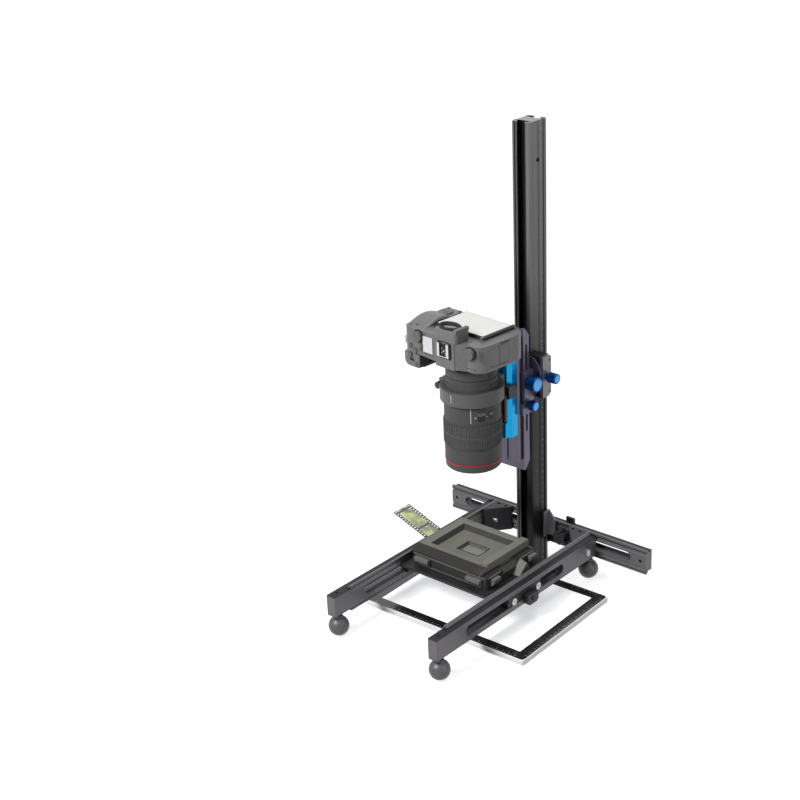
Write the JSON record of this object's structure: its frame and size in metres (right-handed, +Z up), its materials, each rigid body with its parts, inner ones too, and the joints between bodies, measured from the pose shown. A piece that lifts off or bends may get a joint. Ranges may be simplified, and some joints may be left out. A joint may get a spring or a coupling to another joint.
{
  "type": "slide duplicator",
  "caption": "Copy stand for slides and film: slotted base rails, tall column, rack-focused camera looking down at a hinged film gate over a flat light pad.",
  "frame": {"origin": "on the table top under the optical axis, where the underside of the light pad rests", "axes": "+X right along the rear rail, +Y back to the column, +Z up along the column"},
  "size_m": [0.352, 0.3776, 0.663],
  "materials": {
    "frame_metal": "satin",
    "gusset_metal": "satin",
    "steel": "bright",
    "foot_metal": "satin",
    "column_metal": "satin anodised",
    "bracket_metal": "matt",
    "dark_steel": "dark",
    "knob_black": "satin",
    "carriage_metal": "satin anodised",
    "plate_metal": "matt",
    "nylon": "matt",
    "knob_blue": "anodised",
    "rail_metal": "anodised",
    "pinion_metal": "machined",
    "quick_blue": "anodised",
    "clamp_black": "satin",
    "collar_metal": "satin",
    "lens_metal": "satin",
    "lens_rubber": "ribbed",
    "lens_glass": "coated",
    "switch_plastic": "satin",
    "chrome": "polished",
    "camera_plastic": "fine grain",
    "grip_rubber": "leathery",
    "screen_gloss": "lit",
    "display_gloss": "smooth",
    "control_plastic": "satin",
    "stage_metal": "satin",
    "tray_plastic": "satin",
    "finger_plastic": "satin",
    "gate_plastic": "satin",
    "mask_plastic": "matt",
    "film_base": "thin film",
    "pad_shell": "satin",
    "pad_light": "lit"
  },
  "bodies": {
    "frame": {"side_rail_left": "frame_metal", "side_rail_right": "frame_metal", "rear_rail": "frame_metal", "corner_gusset_left": "gusset_metal", "corner_gusset_right": "gusset_metal", "frame_screws": "steel", "ball_feet": "foot_metal", "column": "column_metal", "column_foot_disc": "column_metal", "column_foot_bracket": "bracket_metal", "column_bolts": "dark_steel", "foot_clamp_plate": "dark_steel"},
    "foot_knob": {"foot_clamp_knob": "knob_black"},
    "carriage": {"carriage_body": "carriage_metal", "carriage_plates": "plate_metal", "carriage_screws": "dark_steel", "carriage_clamp_pad": "nylon", "mount_disc": "rail_metal", "slider_body": "rail_metal"},
    "carriage_lock": {"carriage_lock_knob": "knob_blue"},
    "slider_lock": {"slider_lock_knob": "knob_blue"},
    "pinion": {"pinion_shaft": "pinion_metal", "focus_knob": "knob_blue"},
    "rack": {"rack_rail": "rail_metal", "quick_plate": "quick_blue", "foot_clamp": "clamp_black", "lens_foot": "clamp_black", "lens_collar": "collar_metal"},
    "lever": {"clamp_lever": "clamp_black"},
    "collar_knob": {"collar_screw": "clamp_black"},
    "lens": {"lens_barrel": "lens_metal", "front_ring": "lens_metal", "front_element": "lens_glass", "lens_adapter": "lens_metal", "mount_ring": "chrome", "camera_body": "camera_plastic", "camera_grip": "grip_rubber", "eyecup": "grip_rubber", "hot_shoe": "chrome", "top_display": "display_gloss"},
    "focus_grip": {"focus_ring": "lens_rubber"},
    "lens_switch": {"mode_switch": "switch_plastic"},
    "screen": {"screen_panel": "screen_gloss"},
    "mode_wheel": {"mode_dial": "control_plastic"},
    "power_wheel": {"power_dial": "control_plastic"},
    "shutter": {"shutter_button": "control_plastic"},
    "record": {"record_button": "control_plastic"},
    "door": {"port_door": "camera_plastic"},
    "stage": {"stage_plate": "stage_metal", "stage_brackets": "stage_metal", "stage_screws": "steel", "stage_clamp_block": "stage_metal", "film_tray": "tray_plastic", "grip_pads": "finger_plastic", "hinge_pin": "steel"},
    "gate": {"gate_frame": "gate_plastic", "gate_plate": "mask_plastic"},
    "film": {"film_strip": "film_base"},
    "light_pad": {"pad_body": "pad_shell", "pad_panel": "pad_light"}
  },
  "joints": [
    {"name": "carriage_slide", "type": "slide", "parent": "frame", "child": "carriage", "axis": [0, 0, 1], "range_m": [-0.06, 0.31]},
    {"name": "carriage_lock_turn", "type": "hinge", "parent": "carriage", "child": "carriage_lock", "pos_m": [0.045, 0.117, 0.311], "axis": [1, 0, 0], "range_deg": [0, 360]},
    {"name": "slider_lock_turn", "type": "hinge", "parent": "carriage", "child": "slider_lock", "pos_m": [0.03, 0.09265, 0.274], "axis": [1, 0, 0], "range_deg": [0, 360]},
    {"name": "rack_slide", "type": "slide", "parent": "carriage", "child": "rack", "axis": [0, 0, 1], "range_m": [-0.05, 0.07]},
    {"name": "focus_turn", "type": "hinge", "parent": "carriage", "child": "pinion", "pos_m": [0, 0.09373, 0.307], "axis": [1, 0, 0], "range_deg": [-1010, 725]},
    {"name": "clamp_lever_swing", "type": "hinge", "parent": "rack", "child": "lever", "pos_m": [0.015, 0.049, 0.297], "axis": [0, -1, 0], "range_deg": [0, 90]},
    {"name": "collar_knob_turn", "type": "hinge", "parent": "rack", "child": "collar_knob", "pos_m": [-0.048, -0.01, 0.3215], "axis": [0, 1, 0], "range_deg": [0, 360]},
    {"name": "collar_turn", "type": "hinge", "parent": "rack", "child": "lens", "pos_m": [0, 0, 0.3215], "axis": [0, 0, 1], "range_deg": [-20, 20]},
    {"name": "focus_ring_turn", "type": "hinge", "parent": "lens", "child": "focus_grip", "pos_m": [0, 0, 0.2665], "axis": [0, 0, 1], "range_deg": [-75, 75]},
    {"name": "mode_switch_slide", "type": "slide", "parent": "lens", "child": "lens_switch", "axis": [0, 0, 1], "range_m": [-0.004, 0]},
    {"name": "screen_swing", "type": "hinge", "parent": "lens", "child": "screen", "pos_m": [0.03213, -0.00281, 0.40605], "axis": [0.0872, 0.9962, 0], "range_deg": [0, 170]},
    {"name": "mode_dial_turn", "type": "hinge", "parent": "lens", "child": "mode_wheel", "pos_m": [-0.06425, -0.03453, 0.3945], "axis": [0.0872, 0.9962, 0], "continuous": true},
    {"name": "power_dial_turn", "type": "hinge", "parent": "lens", "child": "power_wheel", "pos_m": [0.03138, -0.0429, 0.3935], "axis": [0.0872, 0.9962, 0], "range_deg": [0, 40]},
    {"name": "shutter_press", "type": "slide", "parent": "lens", "child": "shutter", "axis": [0.0872, 0.9962, 0], "range_m": [0, 0.001], "stiffness_N_per_m": 300, "springref_m": -0.0006},
    {"name": "record_press", "type": "slide", "parent": "lens", "child": "record", "axis": [0.0872, 0.9962, 0], "range_m": [0, 0.001], "stiffness_N_per_m": 300, "springref_m": -0.0006},
    {"name": "port_door_swing", "type": "hinge", "parent": "lens", "child": "door", "pos_m": [0.05106, -0.00447, 0.3728], "axis": [0.0872, 0.9962, 0], "range_deg": [0, 95]},
    {"name": "stage_slide", "type": "slide", "parent": "frame", "child": "stage", "axis": [0, 1, 0], "range_m": [-0.082, 0.04]},
    {"name": "gate_lift", "type": "hinge", "parent": "stage", "child": "gate", "pos_m": [0, 0.0578, 0.079], "axis": [-1, 0, 0], "range_deg": [0, 95]},
    {"name": "film_slide", "type": "slide", "parent": "stage", "child": "film", "axis": [1, 0, 0], "range_m": [-0.038, 0]},
    {"name": "pad_slide", "type": "slide", "parent": "frame", "child": "light_pad", "axis": [0, 1, 0], "range_m": [-0.055, 0.006]},
    {"name": "foot_knob_turn", "type": "hinge", "parent": "frame", "child": "foot_knob", "pos_m": [0.041, 0.146, 0.04955], "axis": [0, 1, 0], "range_deg": [0, 360]}
  ],
  "couplings": [
    {"joint": "focus_turn", "follows": "rack_slide", "rad_per_m": -250}
  ]
}
